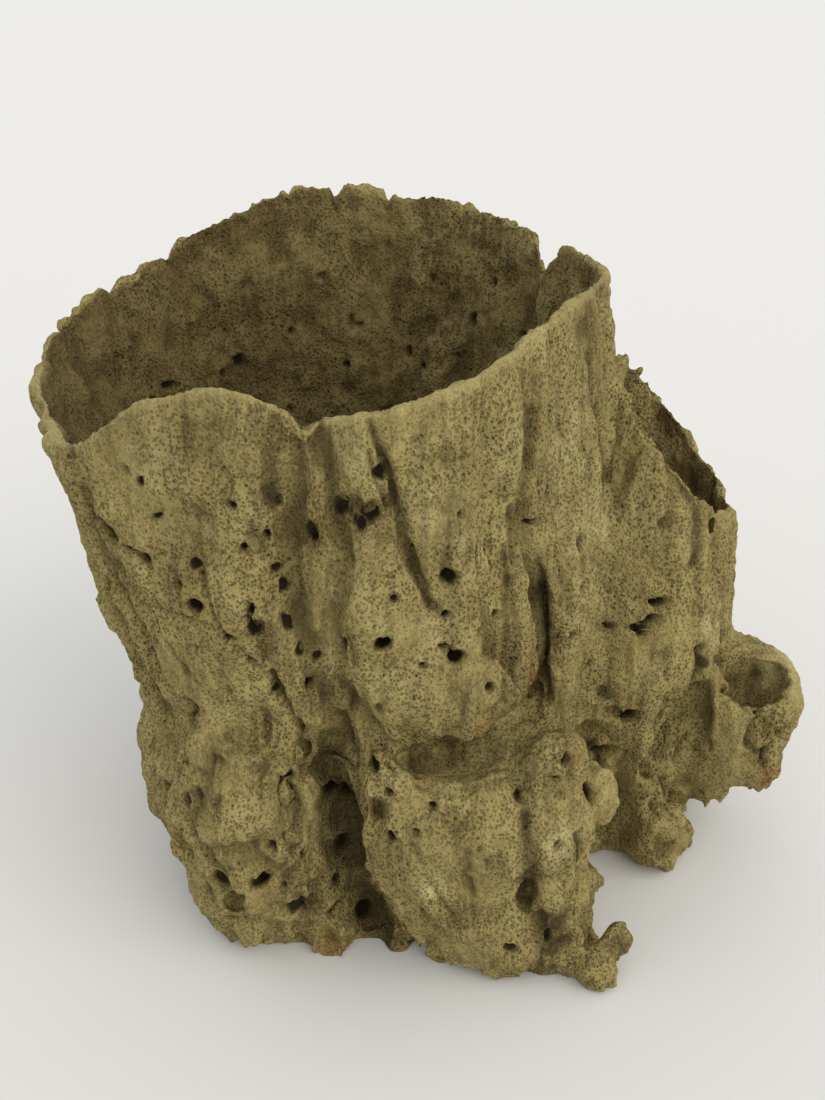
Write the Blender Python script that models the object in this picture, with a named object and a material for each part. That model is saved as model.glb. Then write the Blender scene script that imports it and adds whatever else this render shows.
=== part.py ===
# A dried vase sponge: one fluted cup with a side pocket and lobes, cut off flat where it grew on rock.
# Run with: blender --background --python part.py
import math

import bmesh
import bpy
import numpy as np
from mathutils import Matrix, Vector, noise
from mathutils.bvhtree import BVHTree

# Lengths are in millimetres until the last step.
MM = 0.001

# Azimuths are in degrees round the cup's axis: 0 faces the front (-Y), 90 the right (+X), 180 the back.
# The axis leans to the left as it rises.
FOOT_CENTRE = (0, -15)
MOUTH_CENTRE = (-40, 0)
MOUTH_HEIGHT = 320

# The cup's outline in plan, as (azimuth, radius), at the foot and half way up.
FOOT_OUTLINE = [(0, 104), (45, 102), (90, 104), (135, 108), (180, 105), (225, 112), (270, 118), (315, 118)]
WAIST_OUTLINE = [(0, 118), (45, 118), (90, 128), (135, 132), (180, 134), (225, 140), (270, 136), (315, 139)]
# The mouth's rim: (azimuth, radius, height).
RIM = [
    (0, 132, 311),
    (12, 137, 317),
    (28, 134, 323),
    (38, 128, 326),
    (55, 121, 330),
    (74, 124, 332),
    (92, 139, 331),
    (112, 140, 327),
    (125, 143, 321),
    (140, 153, 324),
    (160, 157, 331),
    (190, 152, 336),
    (204, 153, 328),
    (218, 158, 314),
    (228, 160, 300),
    (245, 160, 295),
    (266, 155, 291),
    (290, 152, 291),
    (311, 158, 289),
    (328, 148, 315),
    (345, 147, 331),
]
RIM_WALL = 6.5
RIM_ROUNDING = 2
FOOT_WALL = 20
HOLLOW_FLOOR = 72
# The hollow narrows to its floor from this share of its depth on. Its last ring is just short of the floor.
BOWL_START = 0.7
LAST_RING = 0.995
# How far the body of a hollow stands out of the mouth.
HEADROOM = 40

# Lobes that grew on the cup, each a stack of level ellipses:
# (height, centre x, centre y, half width, half depth).
FRONT_LOBE = [
    (-12, 67, -114, 28, 26),
    (0, 67, -115, 32, 29),
    (30, 63, -115, 34, 28),
    (60, 55, -115, 37, 27),
    (90, 46, -115, 45, 27),
    (120, 40, -114, 46, 24),
    (132, 40, -112, 42, 20),
]
# A shield that stands free of the front lobe on its left and comes to a point at its foot.
FRONT_SHIELD = [
    (2, 43, -137, 9, 9),
    (14, 44, -140, 25, 12),
    (28, 41, -141, 43, 12),
    (45, 35, -142, 51, 12),
    (65, 32, -142, 55, 13),
    (90, 31, -142, 58, 13),
    (108, 31, -140, 58, 12),
    (120, 31, -137, 56, 9),
]
LEFT_FRONT_LOBE = [
    (-12, -64, -94, 30, 22),
    (0, -68, -98, 36, 25),
    (30, -75, -106, 42, 31),
    (60, -79, -110, 44, 34),
    (90, -80, -111, 42, 36),
    (115, -80, -110, 38, 33),
    (135, -80, -104, 29, 25),
    (146, -79, -99, 18, 16),
]
LEFT_LOBE = [
    (22, -112, -46, 18, 22),
    (40, -118, -44, 26, 36),
    (65, -122, -42, 30, 42),
    (95, -122, -42, 27, 36),
    (115, -120, -42, 18, 22),
]
BACK_LOBE = [
    (-12, -40, 84, 40, 26),
    (20, -42, 92, 46, 32),
    (55, -44, 98, 44, 34),
    (90, -46, 100, 32, 28),
    (110, -48, 98, 18, 16),
]
RIGHT_CUP = [
    (40, 178, -26, 18, 16),
    (55, 181, -27, 27, 27),
    (80, 184, -27, 30, 33),
    (105, 185, -27, 29, 32),
    (121, 182, -24, 22, 22),
]
# How far the ends of a lobe bulge past its first and last ellipse.
LOBE_DOMES = (4, 6)
# Small knobs: (centre, half sizes).
KNOBS = [
    ((68, -134, 137), (17, 15, 17)),
    ((34, -137, 126), (15, 9, 12)),
    ((18, -120, 162), (37, 11, 24)),
    ((136, -60, 26), (19, 15, 26)),
    ((-12, -139, 120), (14, 10, 18)),
    ((88, -128, 110), (12, 12, 16)),
    ((94, -146, 6), (11, 10, 15)),
    ((106, -139, 22), (8, 8, 9)),
    ((-8, -122, 4), (8, 9, 14)),
    ((16, -128, 6), (10, 10, 14)),
    ((-44, -124, 6), (11, 10, 16)),
    ((148, -46, 8), (14, 12, 18)),
    ((122, -44, 6), (12, 10, 14)),
    ((172, -24, 36), (14, 14, 22)),
    ((-98, -120, 134), (15, 12, 13)),
    ((-68, -133, 122), (14, 11, 16)),
    ((-95, -131, 88), (14, 13, 17)),
    ((-62, -140, 86), (12, 9, 15)),
    ((-84, -138, 52), (14, 11, 14)),
    ((-54, -130, 42), (11, 9, 13)),
    ((-106, -112, 54), (13, 13, 16)),
    ((50, 82, 12), (22, 16, 30)),
    ((-94, 54, 16), (20, 18, 34)),
]

# The side pocket on the right. Its mouth slopes down to the right.
POCKET_FOOT = (92, -2)
POCKET_FOOT_SIZE = (74, 50)
POCKET_MOUTH = (138, 6)
POCKET_MOUTH_SIZE = (41, 44)
POCKET_BULGE = 14
POCKET_RIM_HEIGHT = 243
# How much its mouth rises to the right and to the back.
POCKET_RIM_SLOPES = (-0.9, 0.12)
POCKET_WALL = 9
POCKET_FLOOR = 178

# Grooves down the outside: width, depth, then points as (azimuth, height).
GROOVES = [
    (9, 8, [(1, 322), (0, 275), (0, 244), (-6, 213), (-5, 172), (2, 121)]),
    (11, 8, [(-5, 291), (-9, 256), (-11, 219), (-9, 172), (-9, 140)]),
    (16, 11, [(-10, 140), (-12, 110), (-13, 60), (-12, 0)]),
    (8, 7, [(48, 290), (42, 255), (46, 220)]),
    (9, 14, [(46, 215), (46, 188), (48, 161), (44, 132)]),
    (4, 6, [(10, 308), (11, 275), (13, 247), (16, 219)]),
    (4, 8, [(-19, 175), (-18, 145)]),
    (4, 4, [(-50, 240), (-44, 202), (-41, 156)]),
    (4, 4, [(-55, 226), (-50, 184), (-44, 158)]),
    (4, 4, [(-58, 212), (-51, 165), (-45, 132)]),
    (5, 4, [(-72, 230), (-64, 180), (-56, 140)]),
    (9, 5, [(31, 300), (33, 240), (30, 180), (27, 150)]),
    (6, 4, [(60, 310), (59, 250), (57, 200)]),
    (8, 15, [(85, 126), (77, 109), (75, 81), (74, 62)]),
    (9, 10, [(66, 92), (69, 73), (70, 42)]),
    (10, 7, [(104, 240), (100, 180), (106, 110), (103, 40)]),
    (9, 8, [(124, 300), (120, 240), (124, 170), (118, 90), (121, 20)]),
    (7, 5, [(141, 280), (139, 220), (145, 150)]),
    (10, 8, [(160, 310), (164, 250), (158, 180), (163, 120)]),
    (8, 6, [(180, 320), (184, 260), (181, 190), (187, 130)]),
    (10, 8, [(203, 300), (206, 230), (200, 160), (207, 80), (204, 10)]),
    (7, 5, [(222, 280), (224, 220), (219, 160)]),
    (10, 8, [(242, 280), (238, 220), (244, 150), (240, 60), (243, 0)]),
    (8, 6, [(264, 270), (266, 210), (262, 150)]),
]

DEEPEST_GROOVE = 16

# Holes: (azimuth, height, width, tall, deep).
HOLES = [
    (-34, 280, 7, 8, 9),
    (-44, 249, 10, 17, 5),
    (-38, 238, 9, 12, 5),
    (-28, 240, 8, 8, 10),
    (-10, 279, 13, 22, 6),
    (-9, 274, 6, 7, 13),
    (-12, 231, 8, 8, 10),
    (-30, 218, 6, 7, 8),
    (-20, 222, 6, 6, 9),
    (-20, 207, 6, 8, 9),
    (-12, 211, 6, 8, 8),
    (-11, 194, 9, 10, 8),
    (1, 269, 8, 8, 13),
    (6, 268, 11, 10, 13),
    (10, 288, 6, 6, 9),
    (21, 229, 7, 6, 8),
    (5, 201, 7, 6, 8),
    (20, 188, 8, 5, 7),
    (27, 196, 6, 6, 7),
    (66, 216, 5, 9, 8),
    (73, 172, 6, 6, 8),
    (72, 157, 8, 7, 8),
    (68, 106, 9, 9, 10),
    (64, 84, 9, 12, 12),
    (62, 62, 9, 15, 12),
    (75, 44, 9, 8, 10),
    (-17, 130, 8, 8, 9),
    (-12, 107, 15, 15, 18),
    (-18, 117, 6, 13, 7),
    (-40, 106, 9, 8, 8),
    (-28, 88, 8, 8, 8),
    (-18, 81, 8, 9, 9),
    (-35, 62, 9, 9, 8),
    (-27, 69, 10, 9, 9),
    (-33, 51, 10, 9, 9),
    (-22, 47, 11, 9, 9),
    (-18, 31, 8, 9, 8),
    (-1, 114, 14, 13, 7),
    (15, 74, 5, 26, 9),
    (25, 66, 14, 32, 14),
    (36, 38, 5, 18, 9),
    (100, 228, 8, 9, 10),
    (112, 186, 9, 10, 10),
    (131, 140, 9, 12, 10),
    (130, 252, 7, 8, 9),
    (151, 208, 8, 10, 10),
    (153, 92, 12, 10, 12),
    (171, 236, 8, 8, 10),
    (174, 160, 10, 12, 10),
    (195, 268, 7, 8, 9),
    (192, 205, 9, 11, 10),
    (215, 190, 8, 9, 10),
    (214, 118, 11, 12, 11),
    (231, 248, 8, 9, 10),
    (233, 90, 10, 14, 11),
    (252, 196, 9, 10, 10),
    (254, 128, 8, 12, 9),
    (275, 235, 8, 9, 9),
    (281, 172, 8, 12, 9),
]

# The gap in the rim at the back right, and the hollow of the small cup on the right:
# (centre, half sizes, tilt in degrees about X, Y and Z).
CUTS = [
    ((75, 84, 324), (6, 32, 17), (-28, 0, -6)),
    ((190, -42, 116), (17, 17, 34), (34, 8, 0)),
    ((16, -129, 134), (30, 13, 12), (0, 0, 0)),
]

# How far the surface wanders from the smooth form where the wall is thick: flutes and lumps on the outside,
# bigger lumps low down, and lumps on the inside.
FLUTES = 4
LUMPS = 6
LOW_LUMPS = 9
INSIDE_LUMPS = 6
# How long a flute or lump is (across, up the wall) and where its noise starts.
FLUTE_NOISE = (11, 90, 9.1)
LUMP_NOISE = (34, 44, 5.3)
SMALL_LUMP_NOISE = (15, 20, 1.7)
INSIDE_NOISE = (12, 12, 3.3)
# Lumps grow bigger below this height, and nothing moves within this distance of the flat cut.
LOW_REACH = 130
STILL_HEIGHT = 10
# The share of a groove that shows as a ridge on the inside.
SHOW_THROUGH = 0.6
# A hole goes no deeper than this share of the wall.
HOLE_REACH = 0.6

# The grid on which overlapping bodies are fused, and the triangles kept before the holes are cut.
VOXEL = 2.6
MOST_FACES = 6000
# Everything reaches this far under height 0, where a block of this size cuts it off flat.
CUT_DEPTH = 12
FLOOR_BLOCK = (900, 900, 100)
# A distance from the axis that is outside everything.
FAR_OUT = 400

COLOUR = (0.245, 0.195, 0.085, 1)
ROUGHNESS = 0.95
SHARP_ANGLE = 45


def clear_scene():
    for old in list(bpy.data.objects):
        bpy.data.objects.remove(old, do_unlink=True)


def mixed(low, high, share):
    return low + (high - low) * share


def around(azimuth):
    """Unit vector in plan that points away from the axis at this azimuth."""
    angle = math.radians(azimuth)
    return Vector((math.sin(angle), -math.cos(angle)))


def axis(height):
    """Where the cup's axis is at this height."""
    share = height / MOUTH_HEIGHT
    return Vector(FOOT_CENTRE).lerp(Vector(MOUTH_CENTRE), share)


def curve(before, start, end, after, place):
    """Catmull-Rom curve between start and end. Each knot is (place, value)."""
    span = end[0] - start[0]
    share = (place - start[0]) / span
    slopes = [
        (two[1] - one[1]) / (two[0] - one[0]) * span if two[0] != one[0] else 0
        for one, two in ((before, end), (start, after))
    ]
    square, cube = share**2, share**3
    return (
        start[1] * (2 * cube - 3 * square + 1)
        + slopes[0] * (cube - 2 * square + share)
        + end[1] * (3 * square - 2 * cube)
        + slopes[1] * (cube - square)
    )


def round_curve(points, azimuth, column=1):
    """Value at an azimuth on a closed smooth curve through (azimuth, value, ...) points."""
    azimuth %= 360
    count = len(points)
    following = next((i for i, point in enumerate(points) if point[0] > azimuth), count)

    def knot(index):
        turns, place = divmod(index, count)
        return points[place][0] + 360 * turns, points[place][column]

    return curve(*(knot(following + step) for step in (-2, -1, 0, 1)), azimuth)


def open_curve(points, place, column):
    """Value at a place on an open smooth curve through (place, value, ...) points."""
    following = next((i for i, point in enumerate(points) if point[0] > place), len(points) - 1)
    following = max(following, 1)
    near = [points[min(max(following + step, 0), len(points) - 1)] for step in (-2, -1, 0, 1)]
    return curve(*((point[0], point[column]) for point in near), place)


def add_object(name, mesh):
    """Makes an object of a bmesh and frees the bmesh."""
    data = bpy.data.meshes.new(name)
    mesh.to_mesh(data)
    mesh.free()
    made = bpy.data.objects.new(name, data)
    bpy.context.collection.objects.link(made)
    return made


def lofted(name, rings, first_pole, last_pole):
    """Closed mesh through rings of points, between two poles."""
    mesh = bmesh.new()
    rows = [[mesh.verts.new(point) for point in ring] for ring in rings]
    columns = len(rings[0])
    for low, high in zip(rows, rows[1:]):
        for place in range(columns):
            beside = (place + 1) % columns
            mesh.faces.new((low[place], low[beside], high[beside], high[place]))
    first, last = mesh.verts.new(first_pole), mesh.verts.new(last_pole)
    for place in range(columns):
        beside = (place + 1) % columns
        mesh.faces.new((first, rows[0][beside], rows[0][place]))
        mesh.faces.new((last, rows[-1][place], rows[-1][beside]))
    bmesh.ops.recalc_face_normals(mesh, faces=mesh.faces)
    return add_object(name, mesh)


def vessel(name, outer, rim_height, centre, foot, columns=120, steps=30):
    """The outside of a cup as a closed body. outer(azimuth, share) is its radius, where share is 0 at
    height 0 and 1 at the rim, and centre(height) is its axis."""
    azimuths = [360 * column / columns for column in range(columns)]
    rings = []
    for step in range(steps + 2):
        up = min(step / steps, 1)
        inset = RIM_ROUNDING if step > steps else 0
        drop = RIM_ROUNDING if step == steps else 0
        ring = []
        for azimuth in azimuths:
            height = mixed(foot, rim_height(azimuth), up) - drop
            radius = outer(azimuth, height / rim_height(azimuth)) - inset
            ring.append((*(centre(height) + around(azimuth) * radius), height))
        rings.append(ring)
    top = sum(rim_height(azimuth) for azimuth in azimuths) / columns
    return lofted(name, rings, (*centre(foot), foot), (*centre(top), top))


def hollow(name, outer, rim_height, centre, wall, floor, columns=120, steps=30):
    """The space inside a vessel with walls of wall(share), as a closed body that stands out of its mouth."""
    azimuths = [360 * column / columns for column in range(columns)]
    rings = []
    for step in range(steps):
        down = step / (steps - 1) * LAST_RING
        closing = max(0, (down - BOWL_START) / (1 - BOWL_START)) ** 2
        ring = []
        for azimuth in azimuths:
            height = mixed(rim_height(azimuth), floor, down) + (HEADROOM if step == 0 else 0)
            share = min(height / rim_height(azimuth), 1)
            radius = mixed(outer(azimuth, share) - wall(share), 0, closing)
            ring.append((*(centre(height) + around(azimuth) * radius), height))
        rings.append(ring)
    top = max(rim_height(azimuth) for azimuth in azimuths) + HEADROOM
    return lofted(name, rings, (*centre(top), top), (*centre(floor), floor))


def cup_outer(azimuth, share):
    """Radius of the cup: a parabola through its outlines at the foot, half way up and at the rim."""
    foot, waist, rim = (round_curve(outline, azimuth) for outline in (FOOT_OUTLINE, WAIST_OUTLINE, RIM))
    low_part = 2 * foot * (share - 0.5) * (share - 1)
    middle_part = 4 * waist * share * (1 - share)
    return low_part + middle_part + 2 * rim * share * (share - 0.5)


def cup_rim(azimuth):
    return round_curve(RIM, azimuth, 2)


def cup_wall(share):
    return mixed(FOOT_WALL, RIM_WALL, share)


def ellipse(sizes, azimuth):
    """Radius at an azimuth of an ellipse with these half sizes."""
    direction = around(azimuth)
    return 1 / math.hypot(direction.x / sizes[0], direction.y / sizes[1])


def pocket_outer(azimuth, share):
    straight = mixed(ellipse(POCKET_FOOT_SIZE, azimuth), ellipse(POCKET_MOUTH_SIZE, azimuth), share)
    return straight + POCKET_BULGE * math.sin(math.pi * min(max(share, 0), 1))


def pocket_rim(azimuth):
    offset = around(azimuth) * ellipse(POCKET_MOUTH_SIZE, azimuth)
    return POCKET_RIM_HEIGHT + offset.dot(Vector(POCKET_RIM_SLOPES))


def pocket_wall(share):
    """Thins to the rim from the pocket's floor up."""
    return mixed(POCKET_WALL, RIM_WALL - 1, max(0, (share - 0.7) / 0.3))


def pocket_centre(height):
    return Vector(POCKET_FOOT).lerp(Vector(POCKET_MOUTH), height / POCKET_RIM_HEIGHT)


def lobe(name, sections, columns=48, steps=20):
    """A rounded body through level ellipses, with domed ends."""
    (low, *low_centre), (high, *high_centre) = sections[0][:3], sections[-1][:3]
    azimuths = [360 * column / columns for column in range(columns)]
    rings = []
    for step in range(steps + 1):
        height = mixed(low, high, step / steps)
        x, y, *sizes = (open_curve(sections, height, column) for column in (1, 2, 3, 4))
        ring = []
        for azimuth in azimuths:
            ring.append((*(Vector((x, y)) + around(azimuth) * ellipse(sizes, azimuth)), height))
        rings.append(ring)
    return lofted(name, rings, (*low_centre, low - LOBE_DOMES[0]), (*high_centre, high + LOBE_DOMES[1]))


def ellipsoid(name, centre, sizes, tilt=(0, 0, 0), finely=3):
    mesh = bmesh.new()
    bmesh.ops.create_icosphere(mesh, subdivisions=finely, radius=1)
    turned = Matrix.Identity(4)
    for degrees, about in zip(tilt, "XYZ"):
        turned = Matrix.Rotation(math.radians(degrees), 4, about) @ turned
    placed = Matrix.Translation(centre) @ turned @ Matrix.Diagonal((*sizes, 1))
    bmesh.ops.transform(mesh, matrix=placed, verts=mesh.verts)
    return add_object(name, mesh)


def everything_grown():
    stacks = {
        "front_lobe": FRONT_LOBE,
        "front_shield": FRONT_SHIELD,
        "left_front_lobe": LEFT_FRONT_LOBE,
        "left_lobe": LEFT_LOBE,
        "back_lobe": BACK_LOBE,
        "right_cup": RIGHT_CUP,
    }
    lobes = [lobe(name, sections) for name, sections in stacks.items()]
    knobs = [ellipsoid(f"knob_{number}", *knob) for number, knob in enumerate(KNOBS)]
    cup = vessel("cup", cup_outer, cup_rim, axis, -CUT_DEPTH)
    pocket = vessel("pocket", pocket_outer, pocket_rim, pocket_centre, -CUT_DEPTH)
    return [cup, pocket, *lobes, *knobs]


def all_hollows():
    return [
        hollow("cup_hollow", cup_outer, cup_rim, axis, cup_wall, HOLLOW_FLOOR),
        hollow("pocket_hollow", pocket_outer, pocket_rim, pocket_centre, pocket_wall, POCKET_FLOOR),
        *(ellipsoid("small_hollow", *cut) for cut in CUTS),
    ]


def joined(name, parts):
    """One object of separate bodies, which takes the place of the parts."""
    mesh = bmesh.new()
    for part in parts:
        mesh.from_mesh(part.data)
        bpy.data.objects.remove(part)
    return add_object(name, mesh)


def bake_modifiers(thing):
    graph = bpy.context.evaluated_depsgraph_get()
    baked = bpy.data.meshes.new_from_object(thing.evaluated_get(graph))
    thing.modifiers.clear()
    thing.data = baked


def one_skin(thing):
    """Fuses overlapping bodies into one skin."""
    remesh = thing.modifiers.new("skin", "REMESH")
    remesh.mode = "VOXEL"
    remesh.voxel_size = VOXEL
    bake_modifiers(thing)


def groove_depth(azimuths, heights, radii):
    """Depth at each point of all the grooves on the outside."""
    depth = np.zeros(len(heights))
    for width, deep, points in GROOVES:
        nearest = np.full(len(heights), np.inf)
        for (azimuth, low), (next_azimuth, high) in zip(points, points[1:]):
            turn = (azimuths - azimuth + 180) % 360 - 180
            along = np.stack([np.radians(turn) * radii, heights - low])
            run = np.stack([np.radians(next_azimuth - azimuth) * radii, np.full(len(radii), high - low)])
            share = np.clip((along * run).sum(0) / (run * run).sum(0), 0, 1)
            nearest = np.minimum(nearest, np.hypot(*(along - share * run)))
        depth += deep * np.exp(-((nearest / (width / 2)) ** 2))
    return np.minimum(depth, DEEPEST_GROOVE)


def roughen(thing):
    """Moves each vertex along its normal: grooves and flutes on the outside, lumps everywhere."""
    data = thing.data
    count = len(data.vertices)
    places = np.empty(count * 3)
    data.vertices.foreach_get("co", places)
    places = places.reshape(-1, 3)
    normals = np.empty(count * 3)
    data.vertex_normals.foreach_get("vector", normals)
    normals = normals.reshape(-1, 3)

    share = places[:, 2:] / MOUTH_HEIGHT
    away = places[:, :2] - (np.array(FOOT_CENTRE) * (1 - share) + np.array(MOUTH_CENTRE) * share)
    radii = np.hypot(*away.T)
    azimuths = np.degrees(np.arctan2(away[:, 0], -away[:, 1]))
    facing = (away * normals[:, :2]).sum(1) / radii
    outside = np.clip(facing * 2, 0, 1)
    inside = np.clip(-facing * 2, 0, 1)

    def wander(scale, height_scale, offset):
        """Smooth noise, longer up the wall than round it."""
        stretch = (1 / scale, 1 / scale, 1 / height_scale)
        return np.array([noise.noise(Vector(place * stretch) + Vector((offset,) * 3)) for place in places])

    low = np.clip(1.2 - places[:, 2] / LOW_REACH, 0, 1)
    thick = mixed(FOOT_WALL, RIM_WALL, share[:, 0]) / FOOT_WALL
    lumps = thick * (wander(*LUMP_NOISE) + 0.5 * wander(*SMALL_LUMP_NOISE))
    folds = FLUTES * wander(*FLUTE_NOISE) - groove_depth(azimuths, places[:, 2], radii)
    push = outside * (folds + mixed(LUMPS, LOW_LUMPS, low) * lumps)
    push += inside * (INSIDE_LUMPS * (lumps + 0.8 * thick * wander(*INSIDE_NOISE)) - SHOW_THROUGH * folds)
    above_floor = np.clip(places[:, 2] / STILL_HEIGHT, 0, 1)
    data.vertices.foreach_set("co", (places + normals * (push * above_floor)[:, None]).ravel())
    data.update()


def fewer_faces(thing, faces):
    now = sum(len(polygon.vertices) - 2 for polygon in thing.data.polygons)
    decimate = thing.modifiers.new("fewer faces", "DECIMATE")
    decimate.ratio = min(1, faces / now)
    decimate.use_collapse_triangulate = True
    bake_modifiers(thing)


def subtract(thing, cutter):
    """Cuts one body, or several that don't touch, out of the thing."""
    cutter.hide_render = True
    cutter.display_type = "WIRE"
    boolean = thing.modifiers.new("cut", "BOOLEAN")
    boolean.operation = "DIFFERENCE"
    boolean.object = cutter
    bake_modifiers(thing)
    bpy.data.objects.remove(cutter)


def hole_cutter(skin, hole):
    """A faceted bowl set into the outside at the hole's azimuth and height."""
    azimuth, height, width, tall, deep = hole
    outward = Vector((*around(azimuth), 0))
    start = Vector((*axis(height), height)) + outward * FAR_OUT
    place, normal, _, _ = skin.ray_cast(start, -outward)
    inward = -(normal + outward).normalized()
    _, _, _, through = skin.ray_cast(place + inward, inward)
    deep = min(deep, through * HOLE_REACH)
    upright = Vector((0, 0, 1)) - inward * inward.z
    upright.normalize()
    sideways = upright.cross(inward)
    mesh = bmesh.new()
    bmesh.ops.create_uvsphere(mesh, u_segments=7, v_segments=5, radius=1)
    turned = Matrix((sideways * width / 2, upright * tall / 2, inward * deep)).transposed().to_4x4()
    bmesh.ops.transform(mesh, matrix=Matrix.Translation(place) @ turned, verts=mesh.verts)
    bmesh.ops.recalc_face_normals(mesh, faces=mesh.faces)
    return add_object("hole_cutter", mesh)


def cut_holes(thing):
    mesh = bmesh.new()
    mesh.from_mesh(thing.data)
    skin = BVHTree.FromBMesh(mesh)
    mesh.free()
    cutters = [hole_cutter(skin, hole) for hole in HOLES]
    for cutter in cutters:
        subtract(thing, cutter)


def cut_flat(thing):
    """Cuts the foot off flat at height 0."""
    mesh = bmesh.new()
    below = Matrix.Translation((0, 0, -FLOOR_BLOCK[2] / 2)) @ Matrix.Diagonal((*FLOOR_BLOCK, 1))
    bmesh.ops.create_cube(mesh, size=1, matrix=below)
    subtract(thing, add_object("floor_cutter", mesh))


def to_bottom_centre(thing):
    """Moves the mesh so that its origin is under the middle of its box, and turns it to metres."""
    corners = [Vector(corner) for corner in thing.bound_box]
    low = Vector(min(corner[side] for corner in corners) for side in range(3))
    high = Vector(max(corner[side] for corner in corners) for side in range(3))
    middle = (low + high) / 2
    thing.data.transform(Matrix.Scale(MM, 4) @ Matrix.Translation((-middle.x, -middle.y, -low.z)))


def sponge_material():
    material = bpy.data.materials.new("dry_sponge")
    material.use_nodes = True
    shader = material.node_tree.nodes["Principled BSDF"]
    shader.inputs["Base Color"].default_value = COLOUR
    shader.inputs["Roughness"].default_value = ROUGHNESS
    return material


def main():
    clear_scene()
    sponge = joined("sponge", everything_grown())
    one_skin(sponge)
    for space in all_hollows():
        subtract(sponge, space)
    roughen(sponge)
    one_skin(sponge)
    fewer_faces(sponge, MOST_FACES)
    cut_holes(sponge)
    cut_flat(sponge)
    to_bottom_centre(sponge)
    sponge.data.materials.clear()
    sponge.data.materials.append(sponge_material())
    sponge.data.shade_smooth()
    sponge.data.set_sharp_from_angle(angle=math.radians(SHARP_ANGLE))


main()
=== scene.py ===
# A dried vase sponge on a pale studio floor, seen from the front and a little above.
# The solid of the sponge is copied, rounded, pressed full of pits, slits and pores, and coloured.
import math
import random

import bmesh
import bpy
import numpy as np
from mathutils import Matrix, Vector, noise
from mathutils.bvhtree import BVHTree
from mathutils.kdtree import KDTree


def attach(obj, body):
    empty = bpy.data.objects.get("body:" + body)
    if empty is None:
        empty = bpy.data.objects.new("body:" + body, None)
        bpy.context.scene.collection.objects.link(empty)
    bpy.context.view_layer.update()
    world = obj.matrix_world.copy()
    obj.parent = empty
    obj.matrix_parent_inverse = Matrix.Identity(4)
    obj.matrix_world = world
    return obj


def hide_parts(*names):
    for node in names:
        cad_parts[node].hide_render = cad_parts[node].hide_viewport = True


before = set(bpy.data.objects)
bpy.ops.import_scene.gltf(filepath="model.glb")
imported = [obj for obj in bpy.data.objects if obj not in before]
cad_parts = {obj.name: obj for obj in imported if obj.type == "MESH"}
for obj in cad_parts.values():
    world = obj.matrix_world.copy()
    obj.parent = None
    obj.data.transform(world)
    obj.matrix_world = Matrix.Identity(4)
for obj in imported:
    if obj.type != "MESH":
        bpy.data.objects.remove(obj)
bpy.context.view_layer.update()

mm = 0.001
scene = bpy.context.scene

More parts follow.
